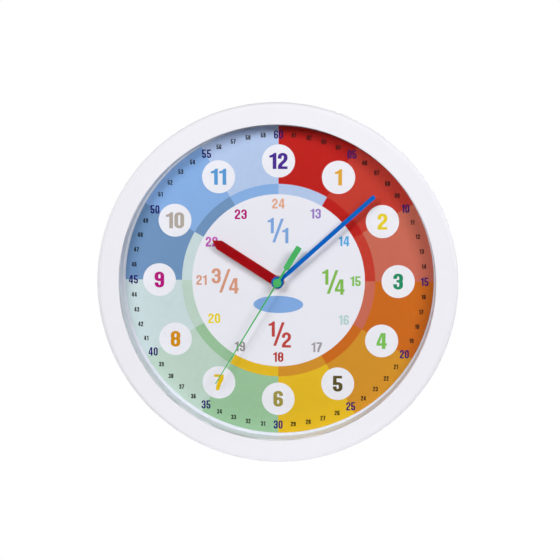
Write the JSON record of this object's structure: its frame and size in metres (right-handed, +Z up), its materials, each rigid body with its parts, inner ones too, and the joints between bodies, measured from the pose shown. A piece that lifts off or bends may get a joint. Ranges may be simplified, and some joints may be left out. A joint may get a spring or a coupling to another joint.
{
  "type": "teaching wall clock",
  "caption": "Round wall clock with a broad white rim, a deep well and a coloured teaching dial, driven by a battery quartz movement with its gear train and hand-setting knob.",
  "frame": {"origin": "on the hands' axis, in the plane of the wall that the rim's back edge rests on", "axes": "+Z up as the clock hangs, +Y into the wall, +X to the right as seen from the front"},
  "size_m": [0.3, 0.0428, 0.3],
  "materials": {
    "rim_plastic": "satin moulded white plastic",
    "pan_plastic": "satin moulded white plastic",
    "lens_plastic": "clear polystyrene",
    "dial_paper": "printed matte card",
    "steel": "plain",
    "movement_plastic": "fine textured black plastic",
    "knob_plastic": "grooved black plastic",
    "gear_plastic": "moulded acetal",
    "brass": "turned",
    "rubber": "matte",
    "board": "green laminate",
    "chip": "moulded resin",
    "copper": "enamelled copper wire",
    "magnet": "sintered",
    "cell": "plain printed sleeve",
    "hour_red": "red paint",
    "minute_blue": "blue paint",
    "second_green": "green paint"
  },
  "bodies": {
    "case": {"bezel": "rim_plastic", "lens": "lens_plastic", "dial_pan": "pan_plastic", "dial_sheet": "dial_paper", "case_screws": "steel", "movement_front_case": "movement_plastic", "movement_rear_case": "movement_plastic", "train_bridge": "gear_plastic", "bush_nut": "steel", "bush_washer": "steel", "rubber_gasket": "rubber", "circuit_board": "board", "driver_chip": "chip", "quartz_crystal": "steel", "stator": "steel", "coil_core": "steel", "coil_bobbin": "gear_plastic", "coil_winding": "copper", "positive_contact": "steel", "negative_contact": "steel"},
    "rotor": {"rotor_magnet": "magnet", "rotor_pinion": "gear_plastic"},
    "intermediate": {"intermediate_wheel": "gear_plastic"},
    "seconds": {"second_wheel": "gear_plastic", "second_hand_tube": "brass", "second_hand": "second_green"},
    "third": {"third_wheel": "gear_plastic"},
    "centre": {"centre_wheel": "gear_plastic"},
    "minutes": {"minute_pipe": "brass", "minute_hand": "minute_blue"},
    "motion": {"motion_wheel": "gear_plastic"},
    "hours": {"hour_wheel": "gear_plastic", "hour_hand": "hour_red"},
    "setting": {"set_knob": "knob_plastic"},
    "cell": {"battery": "cell"}
  },
  "joints": [
    {"name": "second_hand_turn", "type": "hinge", "parent": "case", "child": "seconds", "pos_m": [0, -0.02, 0], "axis": [0, 1, 0], "continuous": true},
    {"name": "intermediate_turn", "type": "hinge", "parent": "case", "child": "intermediate", "pos_m": [0.00827, -0.0085, 0.00694], "axis": [0, 1, 0], "continuous": true},
    {"name": "rotor_turn", "type": "hinge", "parent": "case", "child": "rotor", "pos_m": [0.01219, -0.0085, 0.01373], "axis": [0, 1, 0], "continuous": true},
    {"name": "third_turn", "type": "hinge", "parent": "case", "child": "third", "pos_m": [-0.00883, -0.0105, 0.0051], "axis": [0, 1, 0], "continuous": true},
    {"name": "centre_turn", "type": "hinge", "parent": "case", "child": "centre", "pos_m": [0, -0.0135, 0], "axis": [0, 1, 0], "continuous": true},
    {"name": "minute_hand_turn", "type": "hinge", "parent": "case", "child": "minutes", "pos_m": [0, -0.02, 0], "axis": [0, 1, 0], "continuous": true},
    {"name": "motion_turn", "type": "hinge", "parent": "case", "child": "motion", "pos_m": [0.00886, -0.016, -0.00156], "axis": [0, 1, 0], "continuous": true},
    {"name": "hour_hand_turn", "type": "hinge", "parent": "case", "child": "hours", "pos_m": [0, -0.02, 0], "axis": [0, 1, 0], "continuous": true},
    {"name": "set_knob_turn", "type": "hinge", "parent": "case", "child": "setting", "pos_m": [0.01889, -0.01, -0.00297], "axis": [0, 1, 0], "continuous": true},
    {"name": "battery_lift", "type": "slide", "parent": "case", "child": "cell", "axis": [0, 1, 0], "range_m": [0, 0.03]}
  ],
  "couplings": [
    {"joint": "intermediate_turn", "follows": "second_hand_turn", "ratio": -5},
    {"joint": "rotor_turn", "follows": "second_hand_turn", "ratio": 30},
    {"joint": "third_turn", "follows": "second_hand_turn", "ratio": -0.13333},
    {"joint": "centre_turn", "follows": "second_hand_turn", "ratio": 0.016667},
    {"joint": "motion_turn", "follows": "minute_hand_turn", "ratio": -0.33333},
    {"joint": "hour_hand_turn", "follows": "minute_hand_turn", "ratio": 0.083333},
    {"joint": "set_knob_turn", "follows": "minute_hand_turn", "ratio": 0.66667}
  ]
}
